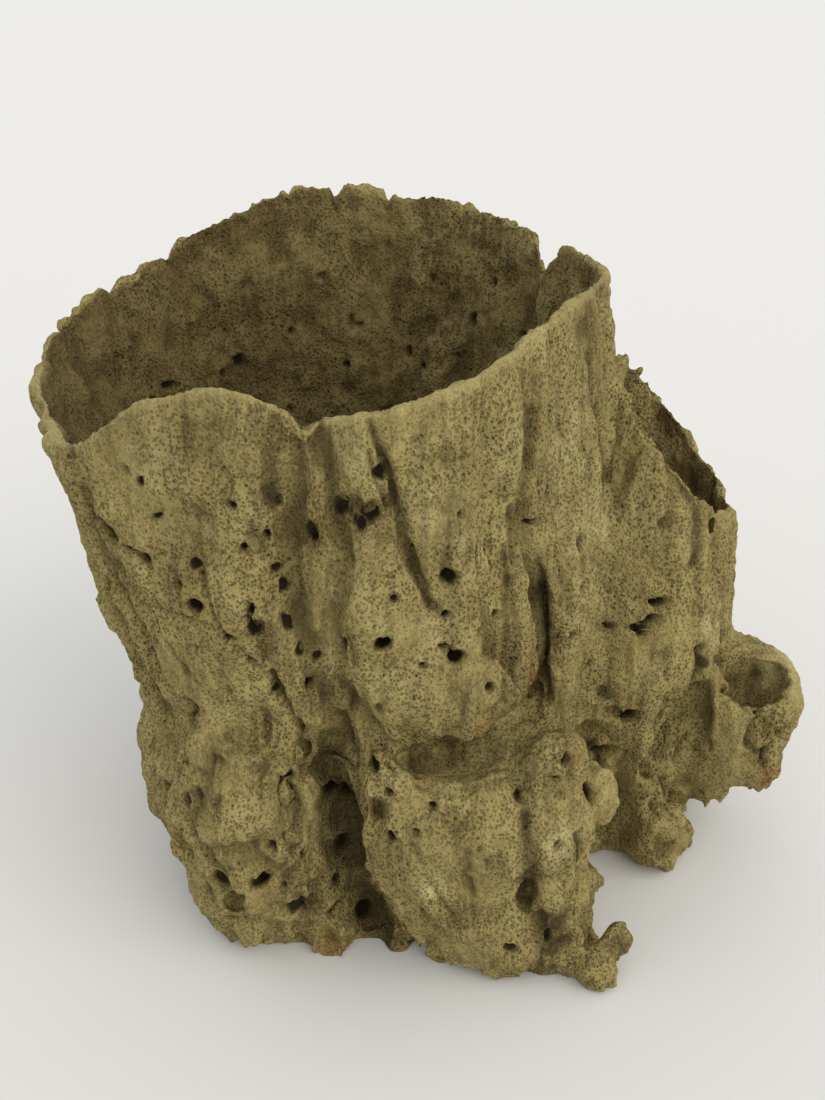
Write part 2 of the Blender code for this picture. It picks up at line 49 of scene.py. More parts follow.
# The sponge. Azimuths are in degrees round the cup's leaning axis: 0 faces the front, 90 the right, -90 the
# left. Heights and sizes are in millimetres.
sponge = {
    "footCentre": (-13.1, -13.6),   # where the axis starts
    "mouthCentre": (-53.1, 1.4),    # where it is at mouthHeight
    "mouthHeight": 320,
    "grid": 1.4,                    # spacing of the skin's points
    "rounding": 32,                 # passes that round off the solid's facets
    "thinAbove": 120,               # the wall is thin above this height
    "wallShare": 0.7,               # a pit takes at most this share of the wall
    "plainShare": 0.4,              # and what lies between the pits at most this
    "flatBelow": 2.5,               # the flat cut's own points lie below this height
    # wedges, so that each stays under 200,000 triangles
    "pieces": 5,                    # wedges, each with the same count of the skin's points
    "firstCut": -64,                # azimuth of the first cut between wedges
    # The larger mouths outside: azimuth, height, width, tall, deep, degrees that each leans to the right.
    "pits": [
        (-35, 278, 6, 8, 8, 10), (-37, 282, 7, 8, 3, 0), (-34, 261, 9, 4, 6, -30),
        (-45, 247, 8, 15, 5, -25), (-47, 252, 6, 5, 6, 0), (-39, 237, 9, 13, 5, -30),
        (-41, 241, 8, 5, 7, 0), (-29, 238, 7.5, 7.5, 9, -20), (-18, 273, 5.5, 6, 9, 0),
        (-17, 284, 4, 14, 2.5, 0), (-11, 277, 12, 22, 4, -8), (-10, 272, 7, 8, 10, 0),
        (-13, 258, 5, 6, 8, 0), (-18, 251, 5, 6, 8, 0), (-13, 238, 6, 7, 9, 0), (-13, 228, 7, 10, 10, 0),
        (-31, 216, 9, 8, 8, -25), (-26, 200, 7, 4.5, 6, 0), (-20, 220, 6, 7, 9, 0),
        (-20.5, 212, 3.5, 11, 8, -10), (-21, 205, 7.5, 9, 10, -10), (-14, 207, 6.5, 12, 10, -10),
        (-13, 192, 7, 9, 9, 0), (-10, 187, 6, 6, 8, 0), (-4, 194, 4, 11, 9, 0), (-12, 173, 8, 8, 8, 0),
        (-21, 168, 6, 5, 7, 0), (-41, 145, 5, 5, 6, 0), (-6, 257, 11, 14, 5, -20), (-5, 254, 5.5, 6, 8, 0),
        (-39, 214, 8, 6, 4, 0), (-33, 226, 4, 4, 4, 0), (-46, 226, 6, 9, 3, -20), (-50, 262, 4, 6, 3, -10),
        (-24, 186, 5, 6, 5, 0), (-17, 150, 7, 8, 7, 0), (4, 268, 26, 24, 3.5, 0), (1, 266, 8, 12, 12, 5),
        (6.5, 267, 12, 14, 12, -15), (4, 260, 9, 8, 10, 0), (10, 286, 7, 8, 9, 0),
        (22, 227, 8.5, 8.5, 10, 0), (20, 207, 6, 6, 8, 0), (28, 194, 6, 6, 7, 0), (19, 190, 8, 4, 8, 30),
        (21, 186, 8, 8, 9, 0), (5, 199, 9, 7, 9, -15), (33, 199, 5, 5, 6, 0), (13, 184, 6, 4, 5, 30),
        (32, 226, 3.5, 7, 5, 0), (25, 260, 3.5, 5, 5, 0), (14, 245, 3.5, 4, 5, 0), (2, 160, 7, 9, 4, 0),
        (26, 172, 5, 6, 5, 0), (9, 222, 5, 6, 5, 0), (17, 300, 5, 6, 3, 0), (62, 215, 6, 10, 10, 0),
        (62, 205, 5, 5, 7, 0), (46, 239, 8, 5, 7, 0), (58, 165, 7, 6, 7, 0), (74, 171, 9, 7, 9, 0),
        (73, 161, 9, 8, 9, 0), (72, 157, 8, 9, 9, -20), (70, 103, 11, 11, 10, 0), (79, 90, 9, 10, 10, 0),
        (75, 107, 6, 7, 8, 0), (70, 75, 11, 11, 12, 0), (69, 50, 9, 15, 11, -10), (81, 30, 10, 9, 9, 20),
        (76, 214, 13, 13, 3.5, 0), (60, 120, 5, 7, 5, 0), (66, 138, 5, 6, 5, 0), (80, 128, 5, 7, 6, 0),
        (71, 236, 12, 14, 3, 0), (62, 190, 14, 20, 3, 0), (68, 118, 14, 18, 4, -15), (-18, 127, 8, 8, 6, 0),
        (-14, 95, 15, 14, 14, 0), (-12.5, 88, 9, 11, 14, -20), (-1, 134, 7, 7, 8, 0),
        (-37, 113, 7, 11, 4, 0), (-31, 117, 9, 13, 3.5, 20), (-36, 124, 12, 9, 3, 0), (-27, 93, 7, 7, 6, 0),
        (-23, 90, 7, 6, 5, 0), (-20, 74, 8, 8, 10, 0), (-36, 60, 11, 9, 5, 0), (-28, 66, 10, 9, 7.5, 0),
        (-32, 56, 13, 8, 6, -25), (-24, 41, 13, 10, 6, 0), (-19, 27, 8, 11, 6, 0), (-33, 37, 11, 7, 4, 0),
        (-27, 25, 9, 7, 4, 0), (-14, 12, 8, 10, 7, 0), (-24, 58, 6, 6, 4, 0), (-44, 82, 10, 10, 4, 0),
        (-31, 134, 14, 7, 3, 10), (-52, 100, 11, 17, 4, 10), (-48, 60, 9, 9, 4, 0), (-60, 76, 11, 12, 4, 0),
        (-26, 108, 9, 8, 3, 0), (-16, 60, 6, 12, 5, 0), (-17, 44, 7, 9, 5, 0), (10, 118, 5, 5, 5, 0),
        (-1, 110, 11, 15, 4, 0), (2, 124, 6, 7, 5, 0), (1, 101, 5, 7, 6, 0), (26, 122, 5, 9, 5, 10),
        (33, 145, 4, 9, 6, 10), (31, 136, 7, 4, 4, 0), (38, 118, 5, 12, 6, 0), (34, 45, 5, 20, 6, 0),
        (21, 30, 11, 9, 5, 0), (28, 37, 8, 14, 6, 0), (6, 106, 5, 5, 4, 0), (17, 98, 4, 5, 3, 0),
        (36, 80, 6, 10, 4, 0), (7, 66, 4, 5, 3, 0), (30, 98, 6, 9, 4, 0),
    ],
    # Mouths on the inside of the cup, in the same form.
    "insidePits": [
        (-148, 239, 9, 9, 6, 0), (-172, 285, 8, 6, 4, 0), (-175, 233, 5, 5, 5, 0), (143, 308, 6, 6, 4, 0),
        (144, 288, 8, 8, 4, 0), (-162, 253, 5, 6, 5, 0), (150, 264, 6, 9, 5, 0), (-178, 258, 4, 12, 4, 0),
        (168, 240, 4, 9, 5, 0), (160, 285, 5, 7, 4, 0), (-128, 236, 12, 6, 6, 20), (-120, 232, 9, 9, 6, 0),
        (-138, 262, 5, 9, 4, 0), (135, 262, 5, 8, 4, 0), (128, 280, 5, 9, 4, 0), (155, 240, 4, 7, 4, 0),
    ],
    "pitShape": {
        # A pit's bowl is darkened with painted shade, the darker the deeper.
        "darkAt": 6.5,              # a pit as deep as this is as dark as any
        "uneven": 0.3,              # how much its outline wanders
        "unevenSize": 3.4,          # and over what length
        "lip": 0.09,                # height of the lip round it, as a share of its depth
        "lipMost": 0.6,
        "insideDark": 0.8,          # how dark the pits inside the cup are
    },
    # Slits and folds down the outside: width, deep (below 0 for a raised pleat), then points as azimuth and
    # height.
    "slits": [
        (9, 5, [(0, 322), (0, 270), (1, 241), (-5, 209), (-6, 167), (3, 138)]),
        (11, 6, [(-4, 300), (-8, 268), (-11, 240), (-12, 212), (-10, 168), (-8, 130)]),
        (5, 4, [(49, 290), (43, 253), (45, 222)]),
        (8, 14, [(44, 224), (47, 200), (49, 184), (50, 158), (46, 136)]),
        (16, 5, [(40, 250), (46, 200), (51, 160), (50, 130)]),
        (4, 7, [(9, 312), (11, 290), (12, 272), (13, 246), (15, 226), (17, 212)]),
        (4.5, 8, [(13, 248), (15, 230), (17, 214)]),
        (3.5, 9, [(-20.5, 178), (-19, 162), (-17.5, 144)]),
        (5.2, 14, [(-50, 222), (-48, 206), (-46, 190), (-46, 170), (-45, 156), (-40, 151)]),
        (4.8, 13, [(-52.5, 208), (-51.5, 184), (-51.5, 163), (-50.5, 146)]),
        (4.8, 12, [(-57, 198), (-57, 177), (-57, 158), (-56, 142)]),
        (4.5, 9, [(-62, 190), (-62, 170), (-61, 146)]),
        (3.6, -3, [(-46, 220), (-44, 200), (-42.5, 180), (-41, 160)]),
        (3.6, -4, [(-51, 216), (-50, 198), (-49, 180), (-48.5, 160), (-48, 148)]),
        (3.6, -4, [(-55, 205), (-54, 184), (-54, 163), (-53, 146)]),
        (3.6, -4, [(-59.5, 194), (-59.5, 170), (-58.5, 146)]),
        (3, 3, [(-41, 214), (-39, 190), (-36, 168)]),
        (3, 3, [(-45, 216), (-36, 210), (-29, 208), (-24, 199)]),
        (8, 5, [(-13, 134), (-15, 112)]),
        (25, 9, [(-14, 122), (-14.5, 78), (-12, 45), (-10, 12), (-9, 0)]),
        (11, 3, [(9, 128), (14, 126), (20, 127), (27, 132)]),
        (8, 5, [(27, 124), (25, 106), (24, 88)]),
        (12, 6, [(26, 50), (26, 30), (26, 4)]),
        (12, 5, [(-32, 142), (-35, 118), (-38, 95), (-35, 72), (-31, 52)]),
        (12, 4, [(-17, 141), (-19, 114), (-22, 99), (-28, 91), (-35, 86)]),
        (9, 4, [(-25, 88), (-23, 60), (-21, 30)]),
        (3.6, 9, [(77, 142), (78, 120), (77.5, 100), (77, 77), (76, 62)]),
        (3.5, 5, [(8, 298), (9, 282), (11, 268)]),
        (4, 4, [(22, 178), (20, 165), (18, 150)]),
        (5, 4, [(30, 262), (28, 225), (31, 185), (29, 160)]),
        (3.5, 3, [(36, 230), (37, 185), (34, 150)]),
        (3.5, 3, [(62, 320), (60, 285), (61, 250)]),
        (3, 3, [(70, 322), (69, 280), (71, 235)]),
        (4.5, 4, [(55, 300), (52, 262), (54, 225), (56, 180)]),
        (6, 5, [(81, 300), (78, 262), (79, 225), (77, 190)]),
        (3.5, 4, [(-25, 92), (-19, 97), (-15, 101)]),
        (3.5, 4, [(-28, 236), (-27, 212), (-23, 182)]),
        (3.5, 3, [(-15, 300), (-14, 270)]),
        (3.4, 3, [(14.6, 98), (15, 76), (15, 56)]),
        (6, 5, [(34, 100), (35, 70), (35, 36)]),
        (4, 3, [(5, 100), (7, 80), (10, 56)]),
        (8, 8, [(66, 92), (69, 74), (70, 44)]),
        (5, 5, [(74, 98), (74, 70), (76, 40)]),
    ],
    # Gaps between the ragged fingers along the lower edge: azimuth, width, tall, deep.
    "edgeGaps": [
        (-58, 8, 11, 5), (-45, 6, 6, 4), (-30, 8, 10, 5), (-21, 10, 20, 8), (-10, 6, 9, 6), (-3, 9, 20, 9),
        (3, 5, 8, 6), (25, 8, 9, 6), (40, 7, 12, 7), (58, 9, 13, 8), (74, 7, 12, 7), (104, 8, 10, 6),
        (128, 7, 14, 6), (152, 9, 9, 6), (181, 8, 12, 6), (206, 6, 9, 5), (237, 9, 12, 6), (262, 7, 8, 5),
    ],
    # how dark the painted shade in these gaps is, as a share of a pit's
    "gapDark": 0.35,
    # Mouths and slits scattered over the sides, the back and the inside, which get as many as the front has.
    # Mouths: how many, azimuths, heights, widths, how tall for the width, most lean, whether inside the cup.
    "seed": 5,
    "scattered": [
        (120, (92, 298), (14, 285), (3, 8), (0.8, 1.6), 25, False),
        (26, (-60, 90), (10, 290), (2.4, 3.6), (0.9, 1.6), 25, False),
        (70, (-180, 180), (120, 300), (2.2, 4), (0.9, 2.2), 20, True),
    ],
    "backSlits": {
        "count": 26,
        "azimuths": (95, 295),
        "heights": (40, 230),       # of the lower end
        "turn": 5,                  # degrees that a slit wanders at most on its way up
        "tall": (20, 70),
        "widths": (3, 6),
        "depths": (3, 7),
    },
    # How far the skin wanders: size across, size up, how far out on the outside, low down and on the inside,
    # where its noise starts, and whether it comes as waves, as ridges or as blocks with steep sides.
    "relief": {
        "ribs": (13, 120, 2.3, 1.0, 1.2, 3.7, "waves"),
        "flutes": (5.5, 60, 1.3, 0.7, 1.2, 9.2, "ridges"),
        "lumps": (15, 17, 1.3, 4.6, 2.2, 11.3, "waves"),
        "panels": (21, 30, 1.0, 0.9, 2.8, 71.9, "blocks"),
        "knobs": (7, 8, 0.9, 2.4, 1.2, 23.9, "waves"),
        "steps": (8.5, 12, 0.5, 0.4, 1.1, 83.1, "blocks"),
        "crumbs": (3.4, 3.9, 0.45, 0.9, 0.5, 37.1, "waves"),
        "grit": (2.1, 2.5, 0.3, 0.4, 0.3, 51.7, "waves"),
    },
    "lowBetween": (125, 20),        # the relief goes over to its low size between these heights
    "raisedFrom": 4,                # relief wider than this counts as crests and hollows, for the painted highlight and shade
    "raisedMost": 2.4,              # which are full at this size
    # The shield at the front is smoother than the rest of the lower part.
    "shield": {"azimuth": 15, "reach": 24, "radius": 128, "calm": 0.75},
    "swellings": [(93, -138, 22, 13, 2.6)],     # x, y, z, radius, and how much a thin part is thickened
    # The lower end: crumbs hang from the undersides, and the foot frays.
    "foot": {"crumbs": 6, "crumbsBelow": 90, "frayed": 3.2, "frayedBelow": 22},
    # The torn upper edge of the cup.
    "rim": {
        "above": 200,               # nothing below this height is worn
        "reach": 22,                # how far down the edge is worn
        "ragged": 1.6,              # how far it rises and falls in small teeth
        "lumps": 4.6,               # and in long lumps, at the back
        "thinner": 2.2,             # how much the wall thins towards it
        "thinnerReach": 40,
        "notches": [                # azimuth, width, deep
            (-157, 7, 4), (-178.5, 3.5, 9), (170, 4, 6), (153, 4, 4), (-138, 5, 3), (-168, 4, 3),
            (-122, 5, 3), (126, 9, 9), (84, 4, 3), (-2, 8, 6),
        ],
    },
    # The torn edge of the side pocket.
    "pocket": {
        "middle": (125, 7, 243),
        "slopes": (-0.9, 0.12),     # how its mouth falls along X and Y
        "size": (41, 44),
        "outsideOf": 142,           # the cup's own wall is nearer to the axis
        "reach": 12,
        "ragged": 1.8,
        "thinner": 1.6,
        "thinnerReach": 25,
    },
    # Where the colour changes, as azimuth, height, radius and strength: rust left by the rock and the sea,
    # painted shade in the recesses and along the deep slits, and paler fibre, partly worn, partly painted
    # light on the right side.
    "tints": {
        "stain": [
            (42, 152, 10, 0.9), (43, 170, 7, 0.5), (16, 140, 17, 0.5), (24, 148, 12, 0.5),
            (36, 146, 8, 0.5), (78, 62, 12, 0.7), (72, 92, 10, 0.35), (61, 156, 9, 0.4), (84, 58, 11, 0.9),
            (88, 48, 10, 0.7), (-22, 4, 8, 1.0), (-17, 4, 7, 1.0), (-30, 5, 8, 0.5), (44, 4, 9, 0.7),
            (-1, 104, 9, 0.35), (-8, 130, 12, 0.3), (5, 84, 14, 0.25), (150, 20, 22, 0.4),
            (200, 40, 26, 0.35), (255, 16, 18, 0.4), (120, 70, 20, 0.3),
        ],
        # painted shade in the recesses and along the deep slits
        "shadedFold": [
            (10, 129, 11, 0.75), (18, 129, 13, 0.8), (26, 133, 11, 0.7), (-14, 118, 14, 0.6),
            (-14, 92, 16, 0.8), (-13, 62, 16, 0.8), (-10, 30, 15, 0.75), (-11, 276, 11, 0.7),
            (-14, 200, 12, 0.5), (-9, 186, 12, 0.6), (-7, 170, 12, 0.5), (48, 196, 11, 0.6),
            (48, 162, 11, 0.7), (26, 60, 12, 0.7), (27, 30, 12, 0.6), (-44, 250, 7, 0.5),
            (60, 118, 14, 0.5), (70, 128, 13, 0.5), (-38, 200, 10, 0.3), (-24, 136, 14, 0.4),
            (77, 140, 5, 1.2), (78, 130, 5, 1.2), (78, 120, 5, 1.3), (78, 110, 5, 1.3), (77.5, 100, 5, 1.3),
            (77, 90, 5, 1.3), (77, 80, 5, 1.3), (76, 70, 5, 1.2), (25, 80, 8, 1.1), (27, 62, 12, 1.2),
            (29, 46, 13, 1.2), (29, 30, 12, 1.1),
        ],
        # paler fibre: partly real wear, partly painted light where the right side faces the sun
        "wornAndLit": [
            (8, 76, 11, 0.8), (31, 100, 16, 0.9), (-32, 150, 12, 0.6), (5, 294, 14, 0.6),
            (18, 270, 26, 0.5), (17, 200, 22, 0.5), (-30, 290, 24, 0.5), (-28, 262, 20, 0.4),
            (28, 240, 22, 0.5), (40, 280, 24, 0.5), (62, 270, 30, 0.6), (70, 220, 34, 0.7),
            (64, 180, 26, 0.6), (88, 110, 26, 1.0), (96, 90, 22, 0.9), (80, 150, 20, 0.7),
            (-26, 112, 13, 0.5), (46, 100, 18, 0.6), (5, 170, 18, 0.4), (-42, 120, 16, 0.4),
        ],
    },
    "innerDark": (0.72, 0.28),      # how dark the inside is, partly its browner fibre and partly painted shade, and how much lighter at the right
    # The small mouths all over.
    "pores": {
        "across": 3.4,              # how far apart
        "up": 4.0,
        "wide": 0.17,               # radius as a share of the spacing
        "deep": 1.1,
        "fineAcross": 1.7,          # the pores between them, drawn in the material alone as dark dots of painted shade
        "fineUp": 1.95,
        "fineWide": 0.4,
    },
}


def linear(colour):
    # an sRGB hex colour as the linear colour that shaders use
    channels = [int(colour[start : start + 2], 16) / 255 for start in (1, 3, 5)]
    return (*[c / 12.92 if c <= 0.04045 else ((c + 0.055) / 1.055) ** 2.4 for c in channels], 1)


def addNode(tree, kind, inputs, **settings):
    # adds a node; inputs gives each socket a value or another node's output
    node = tree.nodes.new(kind)
    for name, value in settings.items():
        setattr(node, name, value)
    for socket, value in inputs.items():
        if isinstance(value, bpy.types.NodeSocket):
            tree.links.new(value, node.inputs[socket])
        else:
            node.inputs[socket].default_value = value
    return node


def eased(values, low, high):
    # 0 below low, 1 above high, smooth between
    share = np.clip((values - low) / (high - low), 0, 1)
    return share * share * (3 - 2 * share)


def axisAt(heights):
    # where the leaning axis is at these heights
    share = np.asarray(heights, float)[..., None] / sponge["mouthHeight"]
    foot, mouth = np.array(sponge["footCentre"], float), np.array(sponge["mouthCentre"], float)
    return foot + (mouth - foot) * share


def outwardAt(azimuth):
    angle = math.radians(azimuth)
    return Vector((math.sin(angle), -math.cos(angle), 0))


def wander(points, across, up, start):
    # smooth noise between -1 and 1 whose waves are this long across and up; each start gives other waves
    places = points / (across, across, up) + start
    return np.array([noise.noise(place) for place in places.tolist()])


def bakedMesh(thing):
    # puts the object's modifiers into its mesh
    graph = bpy.context.evaluated_depsgraph_get()
    mesh = bpy.data.meshes.new_from_object(thing.evaluated_get(graph))
    thing.modifiers.clear()
    thing.data = mesh
    return mesh


def numbersOf(items, name, width=1, kind=np.float32):
    # one value of each item as an array, or a row of width values
    found = np.empty(len(items) * width, kind)
    items.foreach_get(name, found)
    return found.reshape(-1, width).astype(float) if width > 1 else found


def linked(name, mesh):
    thing = bpy.data.objects.new(name, mesh)
    scene.collection.objects.link(thing)
    return thing


def roundedCopy():
    # the CAD solid as a fine, even skin in millimetres, with its facets rounded off
    skin = linked("skin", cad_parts["sponge"].data.copy())
    skin.data.transform(Matrix.Scale(1 / mm, 4))
    mesh = bmesh.new()
    mesh.from_mesh(skin.data)
    bmesh.ops.remove_doubles(mesh, verts=mesh.verts, dist=0.001)
    mesh.to_mesh(skin.data)
    mesh.free()
    remesh = skin.modifiers.new("even grid", "REMESH")
    remesh.mode = "VOXEL"
    remesh.voxel_size = sponge["grid"]
    smooth = skin.modifiers.new("round facets", "SMOOTH")
    smooth.factor = 0.5
    smooth.iterations = sponge["rounding"]
    bakedMesh(skin)
    return skin


class Surface:
    # the skin's points with what the presses need to know of each, and how far each is pushed
    def __init__(self, skin):
        self.points = numbersOf(skin.data.vertices, "co", 3)
        self.normals = numbersOf(skin.data.vertex_normals, "vector", 3)
        self.tree = BVHTree.FromObject(skin, bpy.context.evaluated_depsgraph_get())
        self.heights = self.points[:, 2]
        away = self.points[:, :2] - axisAt(self.heights)
        self.radii = np.hypot(*away.T)
        self.azimuths = np.degrees(np.arctan2(away[:, 0], -away[:, 1]))
        facing = (away * self.normals[:, :2]).sum(1) / self.radii
        self.outside = eased(facing, -0.1, 0.35)
        self.inside = eased(-facing, -0.1, 0.35) * eased(self.heights, 60, 90)
        self.push = np.zeros_like(self.points)
        count = len(self.points)
        self.marks = {name: np.zeros(count) for name in ("shadedPit", "shadedFold", "stain", "wornAndLit", "edge", "raised")}

    def mark(self, name, chosen, values):
        marks = self.marks[name]
        marks[chosen] = np.maximum(marks[chosen], values)

    def near(self, place, reach):
        box = (np.abs(self.points - place) < reach).all(1)
        return np.nonzero(box)[0]

    def turnsFrom(self, azimuth):
        # degrees from this azimuth to each point, between -180 and 180
        return (self.azimuths - azimuth + 180) % 360 - 180


def placeOn(surface, azimuth, height, fromInside=False):
    # the point of the skin at this azimuth and height, the way into the wall, and how thick the wall is there
    farOut = 400    # mm from the axis, well clear of the sponge
    outward = outwardAt(azimuth)
    centre = Vector((*axisAt(height), height))
    start, ahead = (centre, outward) if fromInside else (centre + outward * farOut, -outward)
    place, normal, _, _ = surface.tree.ray_cast(start, ahead)
    if place is None:
        return None
    inward = (ahead - normal).normalized()
    _, _, _, thick = surface.tree.ray_cast(place + inward * 0.5, inward)
    return place, inward, thick or 0


def pressPit(surface, azimuth, height, width, tall, deep, lean, fromInside=False, colour=1):
    # a bowl with a low lip, whose bottom is wider the deeper it is
    found = placeOn(surface, azimuth, height, fromInside)
    if found is None:
        return
    place, inward, thick = found
    shape = sponge["pitShape"]
    # dark: the painted shade in the bowl, the deeper the darker
    dark = colour * min(1, deep / shape["darkAt"])
    deep = min(deep, thick * sponge["wallShare"])
    upright = (Vector((0, 0, 1)) - inward * inward.z).normalized()
    upright.rotate(Matrix.Rotation(math.radians(lean), 3, inward))
    sideways = upright.cross(inward)
    chosen = surface.near(place, max(width, tall) * 1.1 + 3)
    offset = surface.points[chosen] - place
    across, up, depth = (offset @ np.array(side) for side in (sideways, upright, inward))
    size = shape["unevenSize"]
    wobble = 1 + shape["uneven"] * wander(surface.points[chosen], size, size, 71.3)
    away = np.hypot(across / width, up / tall) * 2 / wobble     # 1 at the pit's edge
    facing = surface.normals[chosen] @ np.array(inward) < 0.1
    usable = facing & (depth < max(thick * 0.5, 3)) & (depth > -9)      # this side of the wall alone
    bowl = (1 - eased(away, min(0.55, 0.07 * deep), 1.15)) * usable
    lip = np.exp(-(((away - 1.3) / 0.28) ** 2)) * usable
    lipHeight = min(shape["lip"] * deep, shape["lipMost"])
    surface.push[chosen] += np.array(inward) * (deep * bowl - lipHeight * lip)[:, None]
    surface.mark("shadedPit", chosen, bowl * dark)


def pressGap(surface, azimuth, width, tall, deep):
    # a tall, flat pit round the cut, which leaves its upper half
    pressPit(surface, azimuth, 1, width * 1.3, 2 * tall, deep * 0.7, 0, colour=sponge["gapDark"])


def pressSlit(surface, width, deep, points):
    # a groove along the line through these points, ragged and of uneven depth
    nearest = np.full(len(surface.points), np.inf)
    for (azimuth, height), (nextAzimuth, nextHeight) in zip(points, points[1:]):
        middle, spread = (azimuth + nextAzimuth) / 2, abs(nextAzimuth - azimuth) / 2 + 12
        turns = surface.turnsFrom(middle)
        chosen = np.nonzero((np.abs(turns) < spread) & (surface.outside > 0))[0]
        arc = np.radians(surface.radii[chosen])     # mm a degree
        along = np.stack([(turns[chosen] + middle - azimuth) * arc, surface.heights[chosen] - height])
        run = np.stack([(nextAzimuth - azimuth) * arc, np.full(len(arc), nextHeight - height)])
        share = np.clip((along * run).sum(0) / (run * run).sum(0), 0, 1)
        nearest[chosen] = np.minimum(nearest[chosen], np.hypot(*(along - share * run)))
    chosen = np.nonzero(nearest < width * 2)[0]
    ragged = 1 + 0.5 * wander(surface.points[chosen], 4, 9, 5.1)
    depth = np.exp(-((nearest[chosen] / (width / 2) / ragged) ** 2)) * surface.outside[chosen]
    thin = eased(surface.heights[chosen], 330, 200) * 0.45 + 0.55       # shallower where the wall is thin
    fade = 0.75 + 0.4 * wander(surface.points[chosen], 9, 22, 61.9)
    surface.push[chosen] -= surface.normals[chosen] * (deep * depth * thin * fade)[:, None]
    # the groove is darkened with painted shade, the deeper the darker
    surface.mark("shadedFold", chosen, depth * fade * min(1, 0.2 + deep / 8))


def scatterMouths(surface):
    draw = random.Random(sponge["seed"])
    for count, azimuths, heights, widths, stretch, lean, fromInside in sponge["scattered"]:
        for _ in range(count):
            azimuth, height, width = (draw.uniform(*span) for span in (azimuths, heights, widths))
            tall, turn = width * draw.uniform(*stretch), draw.uniform(-lean, lean)
            pressPit(surface, azimuth, height, width, tall, width, turn, fromInside)
    slits = sponge["backSlits"]
    for _ in range(slits["count"]):
        azimuth, height = draw.uniform(*slits["azimuths"]), draw.uniform(*slits["heights"])
        end = (azimuth + draw.uniform(-slits["turn"], slits["turn"]), height + draw.uniform(*slits["tall"]))
        width, deep = draw.uniform(*slits["widths"]), draw.uniform(*slits["depths"])
        pressSlit(surface, width, deep, [(azimuth, height), end])


def roughenWall(surface):
    # lays the relief over the whole skin and notes where it stands out
    top, bottom = sponge["lowBetween"]
    shield = sponge["shield"]
    low = eased(-surface.heights, -top, -bottom)
    turned = np.abs(surface.azimuths - shield["azimuth"]) / shield["reach"]
    onShield = (1 - eased(turned, 0.7, 1.15)) * (surface.radii > shield["radius"])
    low *= 1 - shield["calm"] * onShield
    for across, up, outer, lower, inner, start, form in sponge["relief"].values():
        waves = wander(surface.points, across, up, start)
        if form == "ridges":
            waves = 0.5 - 2 * np.abs(waves)
        if form == "blocks":
            waves = np.tanh(7 * waves) * 0.5
        size = surface.outside * (outer + (lower - outer) * low) + surface.inside * inner
        surface.push += surface.normals * (size * waves)[:, None]
        # crests and hollows are noted for the painted highlight and painted shade in the colour
        if across > sponge["raisedFrom"]:
            most = sponge["raisedMost"]
            surface.marks["raised"] += waves * np.minimum(size, most) / most
    for x, y, z, radius, out in sponge["swellings"]:
        away = np.linalg.norm(surface.points - (x, y, z), axis=1) / radius
        surface.push += surface.normals * (out * (1 - eased(away, 0.5, 1.3)))[:, None]


def frayFoot(surface):
    foot = sponge["foot"]
    hanging = eased(-surface.normals[:, 2], 0.1, 0.7) * (surface.heights > 4) * surface.outside
    drops = np.maximum(wander(surface.points, 5, 5, 14.1) * 1.7 - 0.05, 0)
    surface.push[:, 2] -= hanging * drops * foot["crumbs"] * (surface.heights < foot["crumbsBelow"])
    frayed = (1 - eased(surface.heights, 4, foot["frayedBelow"])) * surface.outside
    fringe = wander(surface.points, 6.5, 15, 44.4) + 0.6 * wander(surface.points, 3, 8, 55.5)
    surface.push[:, :2] += surface.normals[:, :2] * (frayed * fringe * foot["frayed"])[:, None]


def wearRim(surface):
    rim = sponge["rim"]
    # the height of the rim all round, from the highest point in each bin of 3 degrees
    binCount, binWidth = 120, 3
    bins = ((surface.azimuths + 180) / binWidth).astype(int) % binCount
    crest = np.zeros(binCount)
    onWall = (surface.radii > 100) & (surface.radii < 190)      # not on the side pocket
    np.maximum.at(crest, bins, np.where(onWall, surface.heights, 0))
    binMiddles = np.arange(binCount) * binWidth - 180 + binWidth / 2
    below = np.interp(surface.azimuths, binMiddles, crest, period=360) - surface.heights
    high = surface.heights > rim["above"]
    close = (1 - eased(below, 0, rim["reach"])) * high
    back = eased(np.abs(surface.azimuths), 70, 120)     # 0 at the front, whose edge is smooth, 1 at the back
    unrolled = np.stack([surface.radii * np.radians(surface.azimuths), surface.heights * 0, surface.radii], 1)
    teeth = wander(unrolled, 7, 7, 3.3) + 0.7 * wander(unrolled, 3.2, 3.2, 8.8) - 0.3
    lumps = wander(unrolled, 24, 24, 6.1) + 0.5 * wander(unrolled, 12, 12, 9.4)
    drop = rim["ragged"] * teeth * (0.3 + back) + rim["lumps"] * lumps * back
    for azimuth, width, deep in rim["notches"]:
        beside = surface.turnsFrom(azimuth) * np.radians(surface.radii)
        drop -= deep * np.exp(-((beside / (width / 2)) ** 2))
    surface.push[:, 2] += close * drop
    thinned = surface.inside * (1 - eased(below, 0, rim["thinnerReach"])) * high * rim["thinner"]
    surface.push -= surface.normals * thinned[:, None]
    surface.marks["edge"] = (1 - eased(below, 0.5, 7)) * high * (1 - 0.8 * back)


